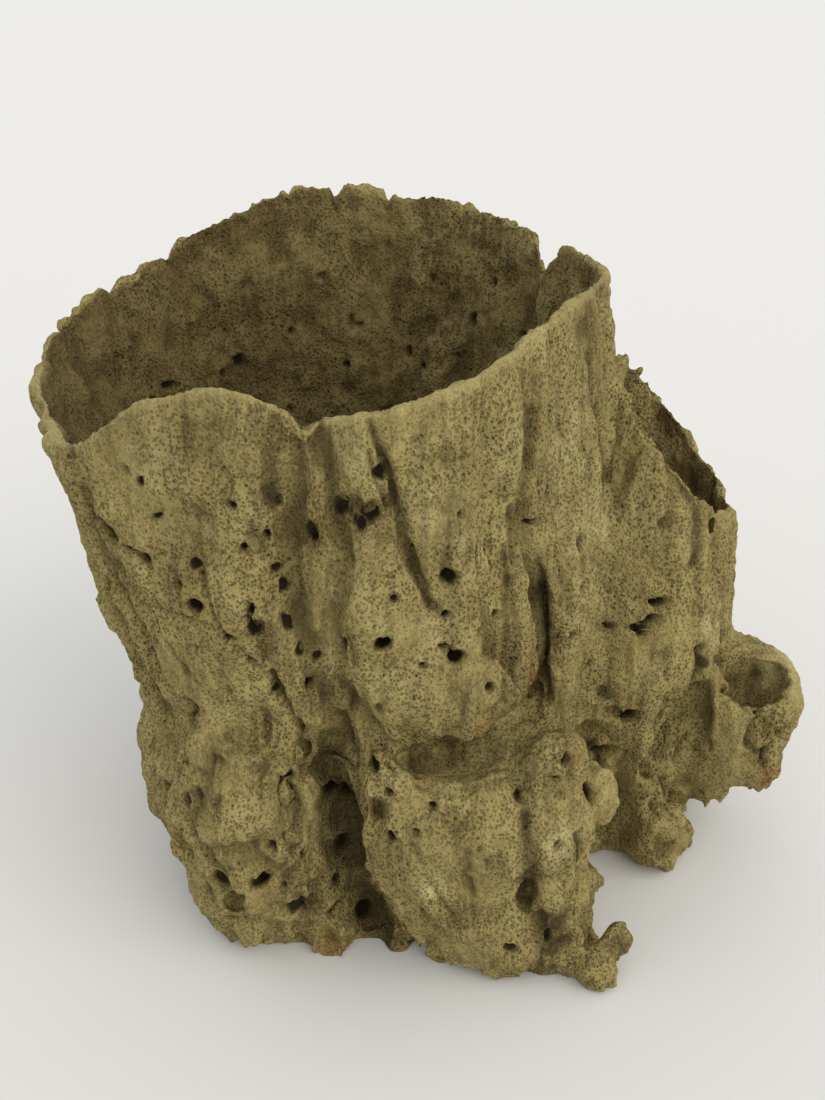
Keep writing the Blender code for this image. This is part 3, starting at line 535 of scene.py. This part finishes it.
def wearPocket(surface):
    # tears the side pocket's edge, and thins its wall towards it from its own inside
    pocket = sponge["pocket"]
    offset = surface.points - pocket["middle"]
    slopeX, slopeY = pocket["slopes"]
    below = offset[:, 0] * slopeX + offset[:, 1] * slopeY - offset[:, 2]
    sizeX, sizeY = pocket["size"]
    ring = np.hypot(offset[:, 0] / sizeX, offset[:, 1] / sizeY)     # 1 along the pocket's wall
    onWall = (surface.radii > pocket["outsideOf"]) & (ring > 0.55) & (ring < 1.4) & (below < 30)
    close = (1 - eased(below, 0, pocket["reach"])) * onWall
    teeth = wander(surface.points, 5, 5, 27.3) + 0.8 * wander(surface.points, 2.6, 2.6, 31.8) - 0.2
    surface.push[:, 2] += close * teeth * pocket["ragged"]
    inner = (offset[:, :2] * surface.normals[:, :2]).sum(1) < 0
    thinned = inner * onWall * (1 - eased(below, 0, pocket["thinnerReach"])) * pocket["thinner"]
    surface.push -= surface.normals * thinned[:, None]


def tintWall(surface):
    for name, places in sponge["tints"].items():
        for azimuth, height, radius, strength in places:
            found = placeOn(surface, azimuth, height)
            if found is None:
                continue
            chosen = surface.near(found[0], radius * 1.6)
            away = np.linalg.norm(surface.points[chosen] - found[0], axis=1) / radius
            cloud = 0.75 + 0.7 * wander(surface.points[chosen], 5, 7, 91.1)
            surface.mark(name, chosen, strength * (1 - eased(away, 0.2, 1.4)) * cloud)


def settle(surface):
    # no push takes more than a share of the wall, so that its two sides never meet
    plain, extra = sponge["plainShare"], sponge["wallShare"] - sponge["plainShare"]
    for index in np.nonzero(surface.heights > sponge["thinAbove"])[0]:
        normal = Vector(surface.normals[index])
        start = Vector(surface.points[index]) - normal * 0.3
        _, _, _, thick = surface.tree.ray_cast(start, -normal, 30)
        if thick:
            pressed = max(surface.marks["shadedPit"][index], surface.marks["shadedFold"][index])
            most = thick * (plain + extra * pressed)
            inward = -float(surface.push[index] @ surface.normals[index])
            if inward > most:
                surface.push[index] += surface.normals[index] * (inward - most)

    # the flat cut stays flat: nothing goes below it, and its own points only move sideways
    flat = surface.heights < sponge["flatBelow"]
    surface.push[flat, 2] = 0
    underside = eased(-surface.normals[:, 2], 0.3, 0.9) * flat
    surface.push *= (1 - underside)[:, None]
    moved = surface.points + surface.push
    moved[:, 2] = np.maximum(moved[:, 2], 0)
    return moved


def poreMask(tree, place, across, up, wide):
    # 1 in the middle of each small mouth, 0 on the web between them; the same in a mesh and in a material
    spacing = (across, across, up)
    cells = addNode(tree, "ShaderNodeVectorMath", {0: place, 1: spacing}, operation="DIVIDE")
    cell = cells.outputs[0]
    mouths = addNode(tree, "ShaderNodeTexVoronoi", {"Vector": cell, "Scale": 1, "Randomness": 0.9})
    uneven = addNode(tree, "ShaderNodeTexNoise", {"Vector": cell, "Scale": 0.3, "Detail": 1})
    edge = addNode(
        tree,
        "ShaderNodeMath",
        {0: uneven.outputs[0], 1: -0.3, 2: mouths.outputs["Distance"]},
        operation="MULTIPLY_ADD",
    )
    return addNode(
        tree,
        "ShaderNodeMapRange",
        {"Value": edge.outputs[0], 1: wide - 0.3, 2: wide - 0.05, 3: 1, 4: 0},
        interpolation_type="SMOOTHSTEP",
    ).outputs[0]


def pressPores(skin):
    # pushes each small mouth into the mesh, where the material draws it too
    pores = sponge["pores"]
    tree = bpy.data.node_groups.new("pores", "GeometryNodeTree")
    tree.interface.new_socket("Geometry", in_out="INPUT", socket_type="NodeSocketGeometry")
    tree.interface.new_socket("Geometry", in_out="OUTPUT", socket_type="NodeSocketGeometry")
    start = addNode(tree, "NodeGroupInput", {})
    place = addNode(tree, "GeometryNodeInputNamedAttribute", {"Name": "rest"}, data_type="FLOAT_VECTOR")
    sizes = addNode(tree, "GeometryNodeInputNamedAttribute", {"Name": "porous"}, data_type="FLOAT")
    mask = poreMask(tree, place.outputs[0], pores["across"], pores["up"], pores["wide"])
    depth = addNode(tree, "ShaderNodeMath", {0: mask, 1: sizes.outputs[0]}, operation="MULTIPLY")
    normal = addNode(tree, "GeometryNodeInputNormal", {})
    scaled = addNode(
        tree, "ShaderNodeVectorMath", {0: normal.outputs[0], "Scale": depth.outputs[0]}, operation="SCALE"
    )
    inward = addNode(
        tree, "ShaderNodeVectorMath", {0: scaled.outputs[0], 1: (-pores["deep"],) * 3}, operation="MULTIPLY"
    )
    moved = addNode(tree, "GeometryNodeSetPosition", {0: start.outputs[0], "Offset": inward.outputs[0]})
    addNode(tree, "NodeGroupOutput", {0: moved.outputs[0]})
    skin.modifiers.new("pores", "NODES").node_group = tree
    bakedMesh(skin)


def addAttribute(mesh, name, values):
    vectors = values.ndim == 2
    kind, field = ("FLOAT_VECTOR", "vector") if vectors else ("FLOAT", "value")
    attribute = mesh.attributes.new(name, kind, "POINT")
    attribute.data.foreach_set(field, values.astype(np.float32).ravel())


def wedgeCutter(start, end):
    # a closed wedge of space between two azimuths, round the middle of the axis and larger than the sponge
    radius, bottom, top, parts = 600, -60, 500, 4
    middle = axisAt(sponge["mouthHeight"] / 2)
    steps = [start + (end - start) * step / parts for step in range(parts + 1)]
    corners = [middle] + [middle + np.array(outwardAt(azimuth))[:2] * radius for azimuth in steps]
    mesh = bmesh.new()
    rows = [[mesh.verts.new((*corner, height)) for corner in corners] for height in (bottom, top)]
    for place in range(len(corners)):
        beside = (place + 1) % len(corners)
        mesh.faces.new((rows[0][place], rows[0][beside], rows[1][beside], rows[1][place]))
    mesh.faces.new(rows[0])
    mesh.faces.new(rows[1])
    bmesh.ops.recalc_face_normals(mesh, faces=mesh.faces)
    cutter = linked("wedge", bpy.data.meshes.new("wedge"))
    mesh.to_mesh(cutter.data)
    mesh.free()
    return cutter


def wedgeAngles(points):
    # the cuts' azimuths from the first one on, which give each wedge the same count of points
    middle = axisAt(sponge["mouthHeight"] / 2)
    turned = np.degrees(np.arctan2(points[:, 0] - middle[0], middle[1] - points[:, 1]))
    turned = np.sort((turned - sponge["firstCut"]) % 360)
    count = sponge["pieces"]
    return [0, *(turned[len(turned) * step // count] for step in range(1, count)), 360]


def cutIntoPieces(skin, facts):
    # parts the skin into closed wedges that meet face to face; facts are the values each point keeps
    mesh = skin.data
    points = numbersOf(mesh.vertices, "co", 3)
    facts["normal"] = numbersOf(mesh.vertex_normals, "vector", 3)
    for name in ("rest", "porous"):
        mesh.attributes.remove(mesh.attributes[name])
    source = mesh.attributes.new("source", "INT", "POINT")      # each point's number, and 0 on the cuts
    source.data.foreach_set("value", np.arange(1, len(points) + 1, dtype=np.int32))
    finder = KDTree(len(points))
    for index, point in enumerate(points.tolist()):
        finder.insert(point, index)
    finder.balance()
    cuts = wedgeAngles(points)
    made = []
    for number, (start, end) in enumerate(zip(cuts, cuts[1:]), 1):
        piece = linked(f"sponge_skin_{number}", mesh)
        cutter = wedgeCutter(sponge["firstCut"] + start, sponge["firstCut"] + end)
        boolean = piece.modifiers.new("wedge", "BOOLEAN")
        boolean.operation = "INTERSECT"
        boolean.solver = "MANIFOLD"
        boolean.object = cutter
        cut = bakedMesh(piece)
        bpy.data.objects.remove(cutter)
        index = numbersOf(cut.attributes["source"].data, "value", kind=np.int32).astype(int) - 1
        cut.attributes.remove(cut.attributes["source"])
        kept = {name: values[index] for name, values in facts.items()}
        # a point that the cut made takes its values from the four nearest points of the skin
        places = numbersOf(cut.vertices, "co", 3)
        for new in np.nonzero(index < 0)[0]:
            found = finder.find_n(places[new], 4)
            near = [place for _, place, _ in found]
            weights = np.array([1 / (distance + 0.01) for _, _, distance in found])
            weights /= weights.sum()
            for name, values in facts.items():
                kept[name][new] = weights @ values[near]
            kept["rest"][new] += places[new] - weights @ points[near]
        normals = kept.pop("normal")
        for name, values in kept.items():
            addAttribute(cut, name, values)
        cut.transform(Matrix.Scale(mm, 4))
        cut.shade_smooth()
        cut.normals_split_custom_set_from_vertices(normals)
        made.append(piece)
    bpy.data.objects.remove(skin)
    return made


# Dried spongin: a matt web of horny fibre with small mouths all over. Ochre khaki, paler where worn and with
# painted light on the crests and the right side, painted shade as umber in the pits, slits, hollows, mouths
# and inside the cup, rust where it grew on iron-stained rock. It has no gloss at all.
# Real spongin fibre is about 0.05 mm thick. The finest pattern is drawn ten times as coarse, to show at all.
dryFibre = {
    "web": "#948552",           # the web between the mouths
    "roughness": 0.95,
    "specular": 0.15,
    "patterns": {               # name: size in mm along X, Y and Z, detail, roughness
        "fibre": ((0.55, 0.55, 0.55), 2, 0.5),
        "grain": ((1.1, 1.1, 1.4), 2, 0.6),
        "felt": ((2.4, 2.4, 3.2), 3, 0.6),
        "cloud": ((10, 10, 15), 3, 0.6),
        "patch": ((36, 36, 36), 4, 0.6),
        "streak": ((3.2, 3.2, 42), 2, 0.5),
    },
    "layers": [                 # where, from, to, how much at most, colour
        ("patch", 0.45, 0.68, 0.8, "#a89a63"),      # worn, paler
        ("patch", 0.46, 0.3, 0.6, "#7d7049"),       # greyer, dirtier
        ("streak", 0.5, 0.66, 0.45, "#6b5d3a"),
        ("felt", 0.52, 0.36, 0.4, "#72653f"),
        ("raised", 0.05, 1.1, 0.5, "#b0a269"),      # crests: paler, partly dust, partly painted highlight
        ("raised", -0.05, -1.0, 0.85, "#584a2a"),   # hollows: painted shade
        ("edge", 0.2, 1, 0.45, "#b0a46f"),
        # paler fibre: partly wear, partly painted light
        ("wornAndLit", 0.05, 1, 0.75, "#c2b57f"),
        ("stain", 0.1, 1, 0.75, "#8a5527"),
        ("grain", 0.53, 0.75, 0.6, "#b5a76f"),
        ("grain", 0.47, 0.27, 0.5, "#5c4e2e"),
        # inside the cup: its browner fibre, and painted shade, deepest at the left
        ("inner", 0.1, 0.95, 0.68, "#504226"),
        ("cloud", 0.5, 0.75, 0.4, "#7b6d44"),
        ("fibre", 0.6, 0.32, 0.35, "#605232"),
        # painted shade in the slits and recesses
        ("shadedFold", 0.15, 0.95, 0.85, "#3a2f1a"),
        # painted shade in the pits
        ("shadedPit", 0.2, 0.85, 0.97, "#1d160b"),
        # painted shade in the small mouths and fine pores
        ("fine", 0.1, 1, 0.55, "#41361f"),
        ("mouths", 0.05, 1, 0.58, "#2b2212"),
    ],
    "bump": {"fibre": 0.5, "grain": 0.8, "felt": 0.9, "fine": -0.8, "mouths": -1.4},      # heights in mm
    "bumpStrength": 0.9,
}


def spongeMaterial():
    material = bpy.data.materials.new("driedSpongeFibre")
    material.use_nodes = True
    tree = material.node_tree
    shader = tree.nodes["Principled BSDF"]
    found = {}
    for name in ("rest", "shadedPit", "shadedFold", "stain", "wornAndLit", "edge", "inner", "porous", "raised"):
        node = addNode(tree, "ShaderNodeAttribute", {}, attribute_name=name)
        found[name] = node.outputs["Vector" if name == "rest" else "Fac"]
    for name, (size, detail, roughness) in dryFibre["patterns"].items():
        place = addNode(tree, "ShaderNodeVectorMath", {0: found["rest"], 1: size}, operation="DIVIDE")
        sockets = {"Vector": place.outputs[0], "Scale": 1, "Detail": detail, "Roughness": roughness}
        found[name] = addNode(tree, "ShaderNodeTexNoise", sockets).outputs[0]
    pores = sponge["pores"]
    mouths = poreMask(tree, found["rest"], pores["across"], pores["up"], pores["wide"])
    fine = poreMask(tree, found["rest"], pores["fineAcross"], pores["fineUp"], pores["fineWide"])
    for name, mask in (("mouths", mouths), ("fine", fine)):
        shown = addNode(tree, "ShaderNodeMath", {0: mask, 1: found["porous"]}, operation="MULTIPLY")
        found[name] = shown.outputs[0]

    colour = linear(dryFibre["web"])
    for where, low, high, most, tint in dryFibre["layers"]:
        share = addNode(
            tree,
            "ShaderNodeMapRange",
            {"Value": found[where], 1: low, 2: high, 3: 0, 4: most},
            interpolation_type="SMOOTHSTEP",
        )
        mixed = addNode(
            tree, "ShaderNodeMix", {0: share.outputs[0], 6: colour, 7: linear(tint)}, data_type="RGBA"
        )
        colour = mixed.outputs[2]
    tree.links.new(colour, shader.inputs["Base Color"])
    shader.inputs["Roughness"].default_value = dryFibre["roughness"]
    shader.inputs["Specular IOR Level"].default_value = dryFibre["specular"]

    height = 0
    for name, size in dryFibre["bump"].items():
        height = addNode(
            tree, "ShaderNodeMath", {0: found[name], 1: size * mm, 2: height}, operation="MULTIPLY_ADD"
        ).outputs[0]
    bump = addNode(
        tree, "ShaderNodeBump", {"Height": height, "Distance": 1, "Strength": dryFibre["bumpStrength"]}
    )
    tree.links.new(bump.outputs[0], shader.inputs["Normal"])
    return material


def pressAll(surface):
    for shadedPit in sponge["pits"]:
        pressPit(surface, *shadedPit)
    for shadedPit in sponge["insidePits"]:
        pressPit(surface, *shadedPit, fromInside=True, colour=sponge["pitShape"]["insideDark"])
    print("pits pressed")
    for slit in sponge["slits"]:
        pressSlit(surface, *slit)
    for gap in sponge["edgeGaps"]:
        pressGap(surface, *gap)
    scatterMouths(surface)
    print("slits, gaps and scattered mouths pressed")
    roughenWall(surface)
    frayFoot(surface)
    wearRim(surface)
    wearPocket(surface)
    tintWall(surface)
    print("wall roughened, rim worn, tints laid")


def makeSponge():
    skin = roundedCopy()
    print("skin:", len(skin.data.polygons), "faces")
    surface = Surface(skin)
    pressAll(surface)
    moved = settle(surface)

    # the pores are uneven over the skin, weak along the rim, and there are none on the cut
    cloudy = wander(surface.points, 26, 30, 13.7)
    onCut = (surface.normals[:, 2] < -0.8) & (surface.heights < 3)
    most, less = sponge["innerDark"]
    facts = {
        "rest": moved,
        "porous": np.clip(0.85 + 0.6 * cloudy, 0.5, 1) * (1 - onCut) * (1 - 0.6 * surface.marks["edge"]),
        # inside the cup: browner fibre and painted shade, deepest at the left
        "inner": surface.inside * (most - less * np.sin(np.radians(surface.azimuths))),
        **surface.marks,
    }
    skin.data.vertices.foreach_set("co", moved.astype(np.float32).ravel())
    for name in ("rest", "porous"):
        addAttribute(skin.data, name, facts[name])
    pressPores(skin)
    print("pores pressed")
    material = spongeMaterial()
    for wedge in cutIntoPieces(skin, facts):
        wedge.data.materials.clear()
        wedge.data.materials.append(material)
        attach(wedge, "root")
        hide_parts("sponge")
        print(wedge.name, "has", sum(len(face.vertices) - 2 for face in wedge.data.polygons), "triangles")


# The studio: a pale matt floor under an even sky and a weak, wide sun, and a camera that looks down by 30
# degrees. Places are in metres.
studio = {
    "cameraPlace": (-0.0132, -0.6186, 0.532),
    "lookingDown": 30,
    "lens": 42.55,
    "floor": "#d6d5d1",
    "floorRoughness": 0.9,
    "floorWidth": 40,
    "sky": "#fcfdff",
    "skyStrength": 1.06,
    "sun": "#fff9ee",
    "sunFrom": (0.95, -0.8, 0.78),
    "sunStrength": 1.25,
    "sunWidth": 60,             # degrees, which gives the soft edge of the shadows
}


def makeStudio():
    floor = linked("floor", bpy.data.meshes.new("floor"))
    mesh = bmesh.new()
    bmesh.ops.create_grid(mesh, x_segments=1, y_segments=1, size=studio["floorWidth"] / 2)
    mesh.to_mesh(floor.data)
    mesh.free()
    # matt wall paint, rolled: it has no gloss, and shows the shadow alone
    paint = bpy.data.materials.new("paleMattPaint")
    paint.use_nodes = True
    shader = paint.node_tree.nodes["Principled BSDF"]
    shader.inputs["Base Color"].default_value = linear(studio["floor"])
    shader.inputs["Roughness"].default_value = studio["floorRoughness"]
    floor.data.materials.append(paint)

    sky = bpy.data.worlds.new("studioSky")
    scene.world = sky
    sky.use_nodes = True
    light = sky.node_tree.nodes["Background"]
    light.inputs["Color"].default_value = linear(studio["sky"])
    light.inputs["Strength"].default_value = studio["skyStrength"]

    sun = linked("softSun", bpy.data.lights.new("softSun", "SUN"))
    sun.data.color = linear(studio["sun"])[:3]
    sun.data.energy = studio["sunStrength"]
    sun.data.angle = math.radians(studio["sunWidth"])
    sun.rotation_euler = Vector(studio["sunFrom"]).to_track_quat("Z", "Y").to_euler()

    camera = linked("camera", bpy.data.cameras.new("camera"))
    camera.location = studio["cameraPlace"]
    camera.rotation_euler = (math.radians(90 - studio["lookingDown"]), 0, 0)
    camera.data.lens = studio["lens"]
    scene.camera = camera
    scene.view_settings.view_transform = "Standard"


makeStudio()
print("studio ready")
makeSponge()
print("sponge ready")
